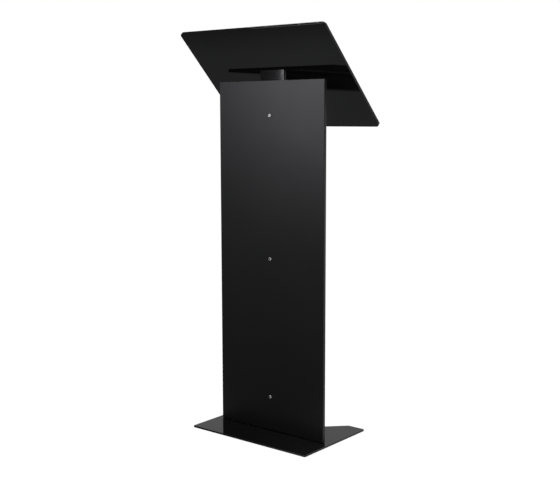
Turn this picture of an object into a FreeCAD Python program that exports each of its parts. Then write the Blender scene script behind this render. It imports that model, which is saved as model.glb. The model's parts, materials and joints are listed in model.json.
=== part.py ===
import FreeCAD, Part
import math
import os

import Sketcher
from FreeCAD import Placement, Rotation, Vector

# Slim lectern kiosk: a thin touchscreen head fixed at 45 degrees on a mitred
# rectangular post, a wide sheet-steel panel screwed to the back of the post,
# and a thin steel floor plate with a toe notch.
#
# Frame: millimetres, +Z up, the user stands on the -Y side.  The origin is on
# the floor, under the middle of the floor plate.

doc = FreeCAD.newDocument("TouchscreenKiosk")
sheet = doc.addObject("Spreadsheet::Sheet", "Dimensions")

# Alias, value (millimetres, or degrees for the tilt), note.
TABLE = [
    # floor plate
    ("base_width", 412, "floor plate, across"),
    ("base_depth", 282, "floor plate, front to back"),
    ("base_thick", 5, "floor plate stock"),
    ("foot_gap", 1, "rubber pads under the plate"),
    ("toe_width", 55, "front edge left of and right of the notch"),
    ("toe_notch", 80, "depth of the toe notch, its corners cut at 45 degrees"),
    ("base_corner", 4, "corner radius of the floor plate"),
    ("base_edge", 0.6, "rounding of the top edge"),
    ("pad_long", 40, "rubber pad"),
    ("pad_wide", 16, "rubber pad"),
    ("pad_corner", 3, "corner radius of a rubber pad"),
    ("pad_side", 30, "centre of an outer rubber pad from the plate's side"),
    ("pad_edge", 16, "centre of a rubber pad from the front or rear edge"),
    ("pad_rear_x", 60, "inner rear rubber pads, from the middle"),
    ("pad_notch_x", 96, "rubber pads behind the notch, from the middle"),
    ("pad_notch_y", 14, "rubber pads behind the notch, from its edge"),
    # post
    ("post_width", 90, "rectangular tube"),
    ("post_depth", 50, "rectangular tube"),
    ("post_wall", 3, "tube wall"),
    ("post_radius", 6, "outer corner radius of the tube"),
    ("post_back", 24.5, "rear face of the post, from the plate's centre"),
    ("post_blank", 1060, "length of tube before the mitre cut"),
    ("window_width", 58, "service window in the rear wall"),
    ("window_height", 200, "service window in the rear wall"),
    ("window_radius", 8, "service window corners"),
    ("weld_gap", 0.05, "fit of the welded plates in the tube"),
    # fits of the screws, on the radius
    ("close_fit", 0.05, "threaded and close holes"),
    ("loose_fit", 0.3, "M6 clearance holes"),
    ("tray_fit", 0.15, "M5 clearance holes in the head tray"),
    ("carrier_fit", 0.25, "M4 clearance holes in the carriers"),
    # foot plate and floor plate fixings
    ("foot_thick", 8, "plate welded in the foot of the post"),
    ("base_bolt_pitch", 54, "floor plate screws, across"),
    ("base_bolt_rows", 18, "floor plate screws, front to back"),
    ("bolt_radius", 3, "M6 shank"),
    ("bolt_reach", 12, "floor plate screw length"),
    ("sink_radius", 6.5, "countersink at the floor plate's underside"),
    ("sink_deep", 3.4, "countersink depth"),
    ("entry_radius", 11.1, "cable entry in the floor plate"),
    ("grommet_fit", 0.1, "grommet to cable entry, on the radius"),
    ("grommet_bore", 8, "bore radius of the cable grommet"),
    ("grommet_flange", 13, "flange radius of the cable grommet"),
    ("grommet_low", 0.8, "lower flange of the cable grommet"),
    ("grommet_high", 1.5, "upper flange of the cable grommet"),
    ("foot_hole", 13.6, "clearance for the grommet in the foot plate"),
    # rear panel
    ("panel_width", 373, "rear panel"),
    ("panel_top", 1000, "height of the panel's top edge"),
    ("panel_foot", 7.1, "height of the panel's bottom edge"),
    ("panel_back", 34.5, "rear face of the panel"),
    ("panel_deep", 9.5, "folded depth of the panel"),
    ("panel_sheet", 1.5, "panel stock"),
    ("panel_bend", 1.0, "outer bend radius"),
    ("screw_pitch", 400, "panel screws, one above the other"),
    ("screw_middle", 504.5, "height of the middle panel screw"),
    ("screw_head", 5.25, "M6 button head radius"),
    ("screw_head_high", 3.3, "M6 button head height"),
    ("screw_reach", 20, "panel screw length under the head"),
    ("nut_flange", 6.5, "rivet nut flange radius"),
    ("nut_flange_thick", 1.5, "rivet nut flange"),
    ("nut_barrel", 4.5, "rivet nut barrel radius"),
    ("nut_long", 12, "rivet nut barrel length in the tube"),
    ("spacer_radius", 8, "panel spacer"),
    ("retainer_thick", 1, "nylon retaining washer"),
    # head, in its own plane: X across, Y up the slope, Z towards the user
    ("tilt", 45, "slope of the head, degrees from the floor"),
    ("head_y", -1.3, "centre of the head's back, front to back"),
    ("head_z", 1002.6, "centre of the head's back, height"),
    ("head_width", 506, "head, across"),
    ("head_height", 365, "head, along the slope"),
    ("head_radius", 11, "corner radius of the head"),
    ("tray_sheet", 1.5, "head tray stock"),
    ("tray_deep", 5.6, "head tray depth"),
    ("tray_bend", 0.8, "outer bend radius of the tray"),
    ("frame_gap", 0.2, "frame to tray"),
    ("frame_width", 9, "inner frame bar"),
    ("frame_corner", 4, "inner corner radius of the frame"),
    ("seal_thick", 0.4, "bond line under the glass"),
    ("seal_inset", 0.5, "edge of the bond line inside the edge it follows"),
    ("glass_thick", 2, "cover glass"),
    ("glass_seam", 0.4, "seamed edge of the glass"),
    ("sensor_thick", 0.3, "touch sensor film"),
    ("lcd_width", 398, "display module"),
    ("lcd_height", 233, "display module"),
    ("lcd_level", 2.4, "back of the display module above the head's back"),
    ("backlight_thick", 1.9, "backlight unit"),
    ("cell_thick", 1.1, "liquid crystal cell"),
    ("cell_shift", 2, "centre of the cell up the slope"),
    ("active_width", 382, "active area"),
    ("active_height", 215, "active area"),
    ("mount_slope", 5.2, "centre of the mounting plate along the slope"),
    ("mount_pitch_x", 56, "head screws, across"),
    ("mount_pitch_y", 28, "head screws, along the slope"),
    ("mount_thick", 6, "plate welded in the mitre"),
    ("head_bolt", 2.5, "M5 shank radius"),
    ("head_bolt_cap", 5, "low head radius"),
    ("head_bolt_high", 0.8, "low head height"),
    ("cable_slot_x", 26, "cable slot in the head's back"),
    ("cable_slot_y", 20, "cable slot in the head's back"),
    ("cable_slot_radius", 5, "corner radius of the cable slot"),
    ("cable_slope", 6.2, "centre of the cable slot along the slope"),
    # equipment in the post
    ("psu_middle", 304.5, "middle of the lower window"),
    ("player_middle", 704.5, "middle of the upper window"),
    ("carrier_width", 68, "equipment carrier"),
    ("carrier_height", 224, "equipment carrier"),
    ("carrier_corner", 5, "corner radius of a carrier"),
    ("carrier_sheet", 1.5, "equipment carrier"),
    ("carrier_hole_x", 48, "carrier screws, across"),
    ("carrier_hole_z", 212, "carrier screws, along"),
    ("small_bolt", 2, "M4 shank radius"),
    ("small_head", 4, "M4 pan head radius"),
    ("small_head_high", 2.4, "M4 pan head height"),
    ("player_width", 48, "media player"),
    ("player_height", 100, "media player"),
    ("player_deep", 18, "media player"),
    ("player_wall", 1.6, "media player shell"),
    ("button_radius", 2.5, "power button"),
    ("button_travel", 1.2, "power button travel"),
    ("psu_width", 50, "power supply"),
    ("psu_height", 100, "power supply"),
    ("psu_deep", 28, "power supply"),
    ("psu_wall", 2, "power supply shell and cover"),
]


class Dim:
    """A number together with the sheet expression that gives it."""

    def __init__(self, number, text):
        self.value = float(number)
        self.text = text

    @staticmethod
    def of(other):
        if isinstance(other, Dim):
            return other
        return Dim(other, "(%.6f)" % other)

    def __add__(self, other):
        other = Dim.of(other)
        return Dim(self.value + other.value, "(%s + %s)" % (self.text, other.text))

    def __sub__(self, other):
        other = Dim.of(other)
        return Dim(self.value - other.value, "(%s - %s)" % (self.text, other.text))

    def __mul__(self, other):
        other = Dim.of(other)
        return Dim(self.value * other.value, "(%s * %s)" % (self.text, other.text))

    def __truediv__(self, other):
        other = Dim.of(other)
        return Dim(self.value / other.value, "(%s / %s)" % (self.text, other.text))

    def __radd__(self, other):
        return Dim.of(other) + self

    def __rsub__(self, other):
        return Dim.of(other) - self

    def __neg__(self):
        return Dim(-self.value, "(-%s)" % self.text)


class SheetReader:
    """Reads the cell with a given alias as an attribute."""

    def __getattr__(self, alias):
        return Dim(sheet.get(alias), "Dimensions." + alias)


for row, (alias, number, note) in enumerate(TABLE, start=1):
    sheet.set("A%d" % row, alias)
    sheet.set("B%d" % row, "%g" % number)
    sheet.setAlias("B%d" % row, alias)
    sheet.set("C%d" % row, note)
doc.recompute()
dims = SheetReader()

# ------------------------------------------------------------ sketch geometry


def value(size):
    return size.value if isinstance(size, Dim) else float(size)


def fix(sketch, constraint, size):
    """Adds a dimension, with its sheet expression when it has one."""
    index = sketch.addConstraint(constraint)
    if isinstance(size, Dim):
        sketch.setExpression("Constraints[%d]" % index, size.text)


def place_point(sketch, geo, end, x, y):
    """Ties a sketch point to its coordinates."""
    for kind, place, axis in (("DistanceX", x, -2), ("DistanceY", y, -1)):
        if abs(value(place)) < 1e-9:
            sketch.addConstraint(Sketcher.Constraint("PointOnObject", geo, end, axis))
        else:
            fix(sketch, Sketcher.Constraint(kind, -1, 1, geo, end, value(place)), place)


def add_polygon(sketch, points):
    count = len(points)
    first = sketch.GeometryCount
    corners = [Vector(value(x), value(y), 0) for x, y in points]
    for i in range(count):
        sketch.addGeometry(Part.LineSegment(corners[i], corners[(i + 1) % count]))
    for i in range(count):
        following = first + (i + 1) % count
        sketch.addConstraint(Sketcher.Constraint("Coincident", first + i, 2, following, 1))
    for i, (x, y) in enumerate(points):
        place_point(sketch, first + i, 1, x, y)


def add_circle(sketch, x, y, radius):
    geo = sketch.GeometryCount
    centre = Vector(value(x), value(y), 0)
    sketch.addGeometry(Part.Circle(centre, Vector(0, 0, 1), value(radius)))
    fix(sketch, Sketcher.Constraint("Radius", geo, value(radius)), radius)
    place_point(sketch, geo, 3, x, y)


def add_rect(sketch, width, height, radius, x, y):
    """A rectangle about (x, y), its corners square when the radius is 0."""
    if value(radius) <= 0:
        add_polygon(sketch, corners_of(width, height, x, y))
        return
    round_off = value(radius)
    left, right = value(x) - value(width) / 2, value(x) + value(width) / 2
    low, high = value(y) - value(height) / 2, value(y) + value(height) / 2
    in_left, in_right = left + round_off, right - round_off
    in_low, in_high = low + round_off, high - round_off
    sides = [
        ((in_left, low), (in_right, low)),
        ((right, in_low), (right, in_high)),
        ((in_right, high), (in_left, high)),
        ((left, in_high), (left, in_low)),
    ]
    centres = [(in_right, in_low), (in_right, in_high), (in_left, in_high), (in_left, in_low)]
    side = sketch.GeometryCount
    arc = side + 4
    for (x0, y0), (x1, y1) in sides:
        sketch.addGeometry(Part.LineSegment(Vector(x0, y0, 0), Vector(x1, y1, 0)))
    for i, (centre_x, centre_y) in enumerate(centres):
        start = math.radians(-90 + 90 * i)
        whole = Part.Circle(Vector(centre_x, centre_y, 0), Vector(0, 0, 1), round_off)
        sketch.addGeometry(Part.ArcOfCircle(whole, start, start + math.pi / 2))
    for i in range(4):
        following = side + (i + 1) % 4
        level = "Horizontal" if i % 2 == 0 else "Vertical"
        sketch.addConstraint(Sketcher.Constraint("Tangent", side + i, 2, arc + i, 1))
        sketch.addConstraint(Sketcher.Constraint("Tangent", arc + i, 2, following, 1))
        sketch.addConstraint(Sketcher.Constraint(level, side + i))
    for i in range(1, 4):
        sketch.addConstraint(Sketcher.Constraint("Equal", arc, arc + i))
    fix(sketch, Sketcher.Constraint("Radius", arc, round_off), radius)
    across = Sketcher.Constraint("DistanceX", side + 3, 1, side + 1, 1, value(width))
    fix(sketch, across, width)
    upward = Sketcher.Constraint("DistanceY", side, 1, side + 2, 1, value(height))
    fix(sketch, upward, height)
    place_point(sketch, side + 1, 1, x + width / 2, y - height / 2 + radius)


def corners_of(width, height, x=0, y=0):
    """The four corners of a rectangle about (x, y)."""
    return [
        (x - width / 2, y - height / 2),
        (x + width / 2, y - height / 2),
        (x + width / 2, y + height / 2),
        (x - width / 2, y + height / 2),
    ]


# Each function below returns a drawing: a function that draws in a sketch.


def polygon(points):
    return lambda sketch: add_polygon(sketch, points)


def circles(places, radius):
    return lambda sketch: [add_circle(sketch, x, y, radius) for x, y in places]


def circle(x, y, radius):
    return circles([(x, y)], radius)


def rects(places, width, height, radius=0):
    return lambda sketch: [add_rect(sketch, width, height, radius, x, y) for x, y in places]


def rect(width, height, radius=0, x=0, y=0):
    return rects([(x, y)], width, height, radius)


def rect_rows(rows, x, y):
    """Rectangles from rows of width, height, corner radius and offset from (x, y)."""

    def draw(sketch):
        for width, height, radius, right, up in rows:
            add_rect(sketch, width, height, radius, x + right, y + up)

    return draw


def hexagons(places, flats):
    """Hexagons, 'flats' wide between opposite sides."""
    reach = flats / math.sqrt(3)
    turns = [math.radians(angle) for angle in range(0, 360, 60)]

    def draw(sketch):
        for x, y in places:
            points = [(x + reach * math.cos(a), y + reach * math.sin(a)) for a in turns]
            add_polygon(sketch, points)

    return draw


# ----------------------------------------------------------- modelling helpers

NORMALS = {"XY": 1, "XZ": -1, "YZ": 1}  # sign of the sketch normal along its axis
OVERCUT = 1  # how far a cut runs past the material
exported = []
cuts = []


def new_sketch(owner, plane, level, drawings):
    made = owner.newObject("Sketcher::SketchObject", owner.Name + "_sketch")
    role = plane + "_Plane"
    support = [f for f in owner.Origin.OriginFeatures if f.Role == role][0]
    made.AttachmentSupport = [(support, "")]
    made.MapMode = "FlatFace"
    offset = level * NORMALS[plane]
    made.AttachmentOffset = Placement(Vector(0, 0, value(offset)), Rotation())
    if isinstance(offset, Dim):
        made.setExpression("AttachmentOffset.Base.z", offset.text)
    for draw in drawings:
        draw(made)
    return made


def bind(obj, prop, size):
    """Gives a property its value, or its sheet expression when it has one."""
    if isinstance(size, Dim):
        obj.setExpression(prop, size.text)
    else:
        setattr(obj, prop, size)


def extrude(kind, owner, plane, level, length, drawings, taper):
    """A pad or pocket from 'level' to 'level' + length along the plane's axis."""
    sketch = new_sketch(owner, plane, level, drawings)
    made = owner.newObject("PartDesign::" + kind, owner.Name + "_" + kind.lower())
    made.Profile = sketch
    made.Reversed = (NORMALS[plane] > 0) == (kind == "Pocket")
    bind(made, "Length", length)
    if taper:
        made.TaperAngle = taper
    owner.Tip = made
    return made


def pad(owner, plane, level, length, *drawings, taper=0):
    """Adds material from 'level' to 'level' + length."""
    extrude("Pad", owner, plane, level, length, drawings, taper)


def pocket(owner, plane, level, length, *drawings, taper=0):
    """Removes material from 'level' to 'level' + length."""
    before = owner.Tip
    cut = extrude("Pocket", owner, plane, level, length, drawings, taper)
    cuts.append((cut, before))


def cut_through(owner, plane, level, thick, *drawings):
    """Cuts right through a wall that starts at 'level'."""
    pocket(owner, plane, level - OVERCUT, thick + 2 * OVERCUT, *drawings)


def piece(name, plane, level, length, *drawings, export=True):
    """A new body that starts with one pad."""
    made = doc.addObject("PartDesign::Body", name)
    made.Label = name
    made.AllowCompound = True
    if export:
        exported.append(made)
    pad(made, plane, level, length, *drawings)
    return made


def dress(owner, kind, size, wanted):
    """Fillets or chamfers the edges that 'wanted' picks from the body so far."""
    doc.recompute()
    tip = owner.Tip
    names = ["Edge%d" % i for i, e in enumerate(tip.Shape.Edges, start=1) if wanted(e)]
    if not names:
        raise RuntimeError("no edge to dress on " + owner.Label)
    made = owner.newObject("PartDesign::" + kind, owner.Name + "_" + kind.lower())
    made.Base = (tip, names)
    bind(made, "Radius" if kind == "Fillet" else "Size", size)
    owner.Tip = made


def lies_at(axis, *levels, tolerance=1e-3):
    """Picks the edges that lie in one of the planes."""

    def wanted(edge):
        low = getattr(edge.BoundBox, axis + "Min")
        high = getattr(edge.BoundBox, axis + "Max")
        return any(
            abs(low - value(level)) < tolerance and abs(high - value(level)) < tolerance
            for level in levels
        )

    return wanted


def stands_up(edge):
    box = edge.BoundBox
    return box.XLength < 1e-3 and box.YLength < 1e-3


def on_head(obj):
    """Puts an object that was drawn in the head's own plane on the slope."""
    obj.Placement = Placement(
        Vector(0, dims.head_y.value, dims.head_z.value),
        Rotation(Vector(1, 0, 0), dims.tilt.value),
    )
    obj.setExpression("Placement.Base.y", "Dimensions.head_y")
    obj.setExpression("Placement.Base.z", "Dimensions.head_z")
    obj.setExpression("Placement.Rotation.Angle", "Dimensions.tilt")


def head_plate(name, level, length, *drawings):
    """A flat piece of the head, drawn in the head's own plane."""
    on_head(piece(name, "XY", level, length, *drawings))


def rear_screws(name, places, seat, shank, head, socket, rounding=0):
    """Screws whose heads stand on the level 'seat' and face the rear.

    shank: radius, length.  head: radius, height.  socket: width over flats, depth.
    """
    shank_radius, shank_long = shank
    head_radius, head_high = head
    flats, socket_deep = socket
    made = piece(name, "XZ", seat - shank_long, shank_long, circles(places, shank_radius))
    pad(made, "XZ", seat, head_high, circles(places, head_radius))
    head_top = seat + head_high
    if rounding:
        dress(made, "Fillet", rounding, lies_at("Y", head_top))
    pocket(
        made, "XZ", head_top - socket_deep, socket_deep + OVERCUT, hexagons(places, flats)
    )


# ---------------------------------------------------------------- floor plate

base_low = dims.foot_gap
base_top = base_low + dims.base_thick
post_mid = dims.post_back - dims.post_depth / 2
half_width, half_depth = dims.base_width / 2, dims.base_depth / 2
toe_x = half_width - dims.toe_width
notch_x = toe_x - dims.toe_notch
notch_y = dims.toe_notch - half_depth
base_bolts = corners_of(dims.base_bolt_pitch, dims.base_bolt_rows, 0, post_mid)
large_socket = 4.0  # M6 hexagon socket, over flats
small_socket = 2.5  # M4 and M5 hexagon socket, over flats

base_outline = [
    (-half_width, -half_depth),
    (-toe_x, -half_depth),
    (-notch_x, notch_y),
    (notch_x, notch_y),
    (toe_x, -half_depth),
    (half_width, -half_depth),
    (half_width, half_depth),
    (-half_width, half_depth),
]
base_plate = piece("base_plate", "XY", base_low, dims.base_thick, polygon(base_outline))
dress(base_plate, "Fillet", dims.base_corner, stands_up)
dress(base_plate, "Fillet", dims.base_edge, lies_at("Z", base_top))
pocket(
    base_plate, "XY", base_low, dims.base_thick,
    circle(0, post_mid, dims.entry_radius),
    circles(base_bolts, dims.bolt_radius + dims.loose_fit),
)
pocket(
    base_plate, "XY", base_low, dims.sink_deep,
    circles(base_bolts, dims.sink_radius),
    taper=-45,
)

# Thin rubber strips that keep the plate off the floor.
pad_x = half_width - dims.pad_side
pad_y = half_depth - dims.pad_edge
pad_notch_y = notch_y + dims.pad_notch_y
pad_places = [
    (-pad_x, pad_y),
    (pad_x, pad_y),
    (-dims.pad_rear_x, pad_y),
    (dims.pad_rear_x, pad_y),
    (-pad_x, -pad_y),
    (pad_x, -pad_y),
    (-dims.pad_notch_x, pad_notch_y),
    (dims.pad_notch_x, pad_notch_y),
]
piece(
    "base_pads", "XY", 0, dims.foot_gap,
    rects(pad_places, dims.pad_long, dims.pad_wide, dims.pad_corner),
)

# Countersunk M6 screws up through the floor plate into the foot plate.
cone_low_by = 0.1  # screw cone shallower than its countersink
cone_fit = 0.03  # screw cone to countersink, on the radius
base_socket_deep = 2.2
base_screws = piece(
    "base_screws", "XY", base_low, dims.bolt_reach, circles(base_bolts, dims.bolt_radius)
)
pad(
    base_screws, "XY", base_low, dims.sink_deep - cone_low_by,
    circles(base_bolts, dims.sink_radius - cone_fit),
    taper=-45,
)
pocket(base_screws, "XY", base_low, base_socket_deep, hexagons(base_bolts, large_socket))

# Grommet in the cable entry, with a flange under and over the floor plate.
grommet_foot = base_low - dims.grommet_low
grommet_flange = circle(0, post_mid, dims.grommet_flange)
cable_grommet = piece("cable_grommet", "XY", grommet_foot, dims.grommet_low, grommet_flange)
pad(
    cable_grommet, "XY", base_low, dims.base_thick,
    circle(0, post_mid, dims.entry_radius - dims.grommet_fit),
)
pad(cable_grommet, "XY", base_top, dims.grommet_high, grommet_flange)
pocket(
    cable_grommet, "XY", grommet_foot,
    dims.base_thick + dims.grommet_low + dims.grommet_high,
    circle(0, post_mid, dims.grommet_bore),
)

# ----------------------------------------------------------------------- post

inner_width = dims.post_width - dims.post_wall * 2
inner_depth = dims.post_depth - dims.post_wall * 2
inner_radius = dims.post_radius - dims.post_wall
post_inner_back = dims.post_back - dims.post_wall
panel_screw_places = [
    (0, dims.screw_middle - dims.screw_pitch),
    (0, dims.screw_middle),
    (0, dims.screw_middle + dims.screw_pitch),
]

post = piece(
    "post", "XY", base_top, dims.post_blank,
    rect(dims.post_width, dims.post_depth, dims.post_radius, 0, post_mid),
    rect(inner_width, inner_depth, inner_radius, 0, post_mid),
)

# The mitre is the plane of the head's back.
tan_tilt = Dim(math.tan(math.radians(dims.tilt.value)), "tan(Dimensions.tilt)")
mitre_reach = 60  # cut in front of and behind the post's middle
mitre_top = dims.post_blank + 100


def mitre_z(y):
    return dims.head_z + (y - dims.head_y) * tan_tilt


y_front, y_rear = post_mid - mitre_reach, post_mid + mitre_reach
mitre_outline = [
    (y_front, mitre_z(y_front)),
    (y_rear, mitre_z(y_rear)),
    (y_rear, mitre_top),
    (y_front, mitre_top),
]
pocket(post, "YZ", -dims.post_width, dims.post_width * 2, polygon(mitre_outline))


def carrier_holes(middle):
    return corners_of(dims.carrier_hole_x, dims.carrier_hole_z, 0, middle)


for middle in (dims.psu_middle, dims.player_middle):
    cut_through(
        post, "XZ", post_inner_back, dims.post_wall,
        rect(dims.window_width, dims.window_height, dims.window_radius, 0, middle),
        circles(carrier_holes(middle), dims.small_bolt + dims.close_fit),
    )
cut_through(
    post, "XZ", post_inner_back, dims.post_wall,
    circles(panel_screw_places, dims.nut_barrel + dims.close_fit),
)

# Plate welded in the foot of the post.
tube_core = rect(
    inner_width - dims.weld_gap * 2,
    inner_depth - dims.weld_gap * 2,
    inner_radius,
    0,
    post_mid,
)
piece(
    "foot_plate", "XY", base_top, dims.foot_thick,
    tube_core,
    circle(0, post_mid, dims.foot_hole),
    circles(base_bolts, dims.bolt_radius + dims.close_fit),
)

# A plate welded in the mitre, its edges bevelled to the walls of the tube.
mount_holes = corners_of(dims.mount_pitch_x, dims.mount_pitch_y, 0, dims.mount_slope)
cable_slot = rect(
    dims.cable_slot_x, dims.cable_slot_y, dims.cable_slot_radius, 0, dims.cable_slope
)
mount_blank = piece(
    "mount_blank", "XY", -dims.mount_thick, dims.mount_thick,
    rect(dims.post_width, dims.post_depth * 2, 0, 0, dims.mount_slope),
    cable_slot,
    circles(mount_holes, dims.head_bolt + dims.close_fit),
    export=False,
)
on_head(mount_blank)
core_reach = 80  # core of the tube, below and above the head's centre
bore_core = piece(
    "bore_core", "XY", dims.head_z - core_reach, 2 * core_reach, tube_core, export=False
)
head_mount_plate = doc.addObject("Part::Common", "head_mount_plate")
head_mount_plate.Label = "head_mount_plate"
head_mount_plate.Base = mount_blank
head_mount_plate.Tool = bore_core
exported.append(head_mount_plate)

# ----------------------------------------------------------------- rear panel

panel_front = dims.panel_back - dims.panel_deep
panel_inner = dims.panel_back - dims.panel_sheet
panel_tall = dims.panel_top - dims.panel_foot
panel_mid = (dims.panel_top + dims.panel_foot) / 2

# Folded tray, open to the front.
rear_panel = piece(
    "rear_panel", "XZ", panel_front, dims.panel_deep,
    rect(dims.panel_width, panel_tall, 0, 0, panel_mid),
)
dress(rear_panel, "Fillet", dims.panel_bend, lies_at("Y", dims.panel_back))
pocket(
    rear_panel, "XZ", panel_front, dims.panel_deep - dims.panel_sheet,
    rect(
        dims.panel_width - dims.panel_sheet * 2,
        panel_tall - dims.panel_sheet * 2,
        0,
        0,
        panel_mid,
    ),
)
cut_through(
    rear_panel, "XZ", panel_inner, dims.panel_sheet,
    circles(panel_screw_places, dims.bolt_radius + dims.loose_fit),
)

rear_screws(
    "panel_screws",
    panel_screw_places,
    seat=dims.panel_back,
    shank=(dims.bolt_radius, dims.screw_reach),
    head=(dims.screw_head, dims.screw_head_high),
    socket=(large_socket, 2),
    rounding=2.6,
)

# Rivet nuts in the rear wall of the post.
nut_low = dims.post_back - dims.nut_long
nut_face = dims.post_back + dims.nut_flange_thick
panel_rivet_nuts = piece(
    "panel_rivet_nuts", "XZ", dims.post_back, dims.nut_flange_thick,
    circles(panel_screw_places, dims.nut_flange),
)
pad(
    panel_rivet_nuts, "XZ", nut_low, dims.nut_long,
    circles(panel_screw_places, dims.nut_barrel),
)
cut_through(
    panel_rivet_nuts, "XZ", nut_low, dims.nut_long + dims.nut_flange_thick,
    circles(panel_screw_places, dims.bolt_radius + dims.close_fit),
)

# Spacers on the nuts, then washers against the inside of the panel.
retainer_face = panel_inner - dims.retainer_thick
retainer_step = 1  # washer radius less than the spacer's
piece(
    "panel_spacers", "XZ", nut_face, retainer_face - nut_face,
    circles(panel_screw_places, dims.spacer_radius),
    circles(panel_screw_places, dims.bolt_radius + dims.loose_fit),
)
piece(
    "screw_retainers", "XZ", retainer_face, dims.retainer_thick,
    circles(panel_screw_places, dims.spacer_radius - retainer_step),
    circles(panel_screw_places, dims.bolt_radius + dims.close_fit),
)

# ----------------------------------------------------------------------- head

head_outline = rect(dims.head_width, dims.head_height, dims.head_radius)
tray_in_width = dims.head_width - dims.tray_sheet * 2
tray_in_height = dims.head_height - dims.tray_sheet * 2
tray_in_radius = dims.head_radius - dims.tray_sheet

# Shallow tray, open towards the user.
head_tray = piece("head_tray", "XY", 0, dims.tray_deep, head_outline)
dress(head_tray, "Fillet", dims.tray_bend, lies_at("Z", 0))
pocket(
    head_tray, "XY", dims.tray_sheet, dims.tray_deep,
    rect(tray_in_width, tray_in_height, tray_in_radius),
)
cut_through(
    head_tray, "XY", 0, dims.tray_sheet,
    cable_slot,
    circles(mount_holes, dims.head_bolt + dims.tray_fit),
)
on_head(head_tray)

# M5 screws through the tray's floor into the mounting plate.
head_socket_sink = 0.6  # bottom of the socket below the underside of the head
head_socket_cut = 2
head_screws = piece(
    "head_screws", "XY", -dims.mount_thick, dims.mount_thick + dims.tray_sheet,
    circles(mount_holes, dims.head_bolt),
)
pad(
    head_screws, "XY", dims.tray_sheet, dims.head_bolt_high,
    circles(mount_holes, dims.head_bolt_cap),
)
pocket(
    head_screws, "XY", dims.tray_sheet - head_socket_sink, head_socket_cut,
    hexagons(mount_holes, small_socket),
)
on_head(head_screws)

# Frame inside the tray wall.
frame_width = tray_in_width - dims.frame_gap * 2
frame_height = tray_in_height - dims.frame_gap * 2
opening_width = frame_width - dims.frame_width * 2
opening_height = frame_height - dims.frame_width * 2
head_plate(
    "head_frame", dims.tray_sheet, dims.tray_deep - dims.tray_sheet,
    rect(frame_width, frame_height, tray_in_radius - dims.frame_gap),
    rect(opening_width, opening_height, dims.frame_corner),
)
seal_inset = dims.seal_inset
head_plate(
    "frame_gasket", dims.tray_deep, dims.seal_thick,
    rect(
        dims.head_width - seal_inset * 2,
        dims.head_height - seal_inset * 2,
        dims.head_radius - seal_inset,
    ),
    rect(
        opening_width + seal_inset * 2,
        opening_height + seal_inset * 2,
        dims.frame_corner + seal_inset,
    ),
)

glass_low = dims.tray_deep + dims.seal_thick
touch_glass = piece("touch_glass", "XY", glass_low, dims.glass_thick, head_outline)
dress(
    touch_glass, "Chamfer", dims.glass_seam,
    lies_at("Z", glass_low, glass_low + dims.glass_thick),
)
on_head(touch_glass)

# Sensor film on the back of the glass, inside the frame.
sensor_low = glass_low - dims.sensor_thick
sensor_gap = 0.5  # to the frame, on each side
sensor_corner = 3
head_plate(
    "touch_sensor", sensor_low, dims.sensor_thick,
    rect(opening_width - sensor_gap * 2, opening_height - sensor_gap * 2, sensor_corner),
)

# Display module: backlight, cell and the gasket between cell and sensor.
cell_low = dims.lcd_level + dims.backlight_thick
cell_top = cell_low + dims.cell_thick
backlight_corner = 2
cell_corner = 1
cell_less_x, cell_less_y = 6, 8  # cell smaller than the module
gasket_less = 1  # gasket smaller than the cell
active_margin = 3  # gasket opening larger than the active area
gasket_in_corner = 0.5
cell_width = dims.lcd_width - cell_less_x
cell_height = dims.lcd_height - cell_less_y
head_plate(
    "backlight_unit", dims.lcd_level, dims.backlight_thick,
    rect(dims.lcd_width, dims.lcd_height, backlight_corner),
)
head_plate(
    "lcd_cell", cell_low, dims.cell_thick,
    rect(cell_width, cell_height, cell_corner, 0, dims.cell_shift),
)
head_plate(
    "lcd_gasket", cell_top, sensor_low - cell_top,
    rect(cell_width - gasket_less, cell_height - gasket_less, cell_corner, 0, dims.cell_shift),
    rect(
        dims.active_width + active_margin,
        dims.active_height + active_margin,
        gasket_in_corner,
        0,
        dims.cell_shift,
    ),
)

# Four pads between the tray's floor and the display module.
lcd_pad_less_x, lcd_pad_less_y = 60, 40  # pad pitch smaller than the module
lcd_pad_long, lcd_pad_wide, lcd_pad_corner = 40, 20, 2
lcd_pad_places = corners_of(dims.lcd_width - lcd_pad_less_x, dims.lcd_height - lcd_pad_less_y)
head_plate(
    "lcd_pads", dims.tray_sheet, dims.lcd_level - dims.tray_sheet,
    rects(lcd_pad_places, lcd_pad_long, lcd_pad_wide, lcd_pad_corner),
)

# Display controller in the margin below the display.
standoff = 0.5
head_board_thick = 1
board_low = dims.tray_sheet + standoff
board_face = board_low + head_board_thick
board_slope = -dims.lcd_height / 2 - 27.5  # centre of the board along the slope
board_hole = 1.4
# Components: width, height, corner radius, offset across and up the slope.
low_parts_high = 1.2
low_parts = [
    (17, 17, 0.4, -26, -4),
    (11, 9, 0.4, 4, -8),
    (7, 5, 0.3, 24, -6),
    (7, 5, 0.3, 36, -6),
]
tall_parts_high = 2.0
tall_parts = [
    (32, 5, 0.3, 40, 18.5),
    (18, 6, 0.3, 0, 18),
    (9, 9, 2.0, -48, 4),
    (9, 9, 2.0, -48, -9),
]
display_board = piece(
    "display_board", "XY", board_low, head_board_thick,
    rect(130, 44, 2, 0, board_slope),
    circles(corners_of(122, 36, 0, board_slope), board_hole),
)
pad(display_board, "XY", board_face, low_parts_high, rect_rows(low_parts, 0, board_slope))
pad(display_board, "XY", board_face, tall_parts_high, rect_rows(tall_parts, 0, board_slope))
on_head(display_board)

# Pads under the display controller and under the touch controller.
touch_x, touch_slope = 120, board_slope - 8  # centre of the touch controller
head_plate(
    "board_pads", dims.tray_sheet, standoff,
    rects(corners_of(104, 20, 0, board_slope), 12, 12, 1),
    rect(40, 12, 1, touch_x, touch_slope),
)

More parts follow.
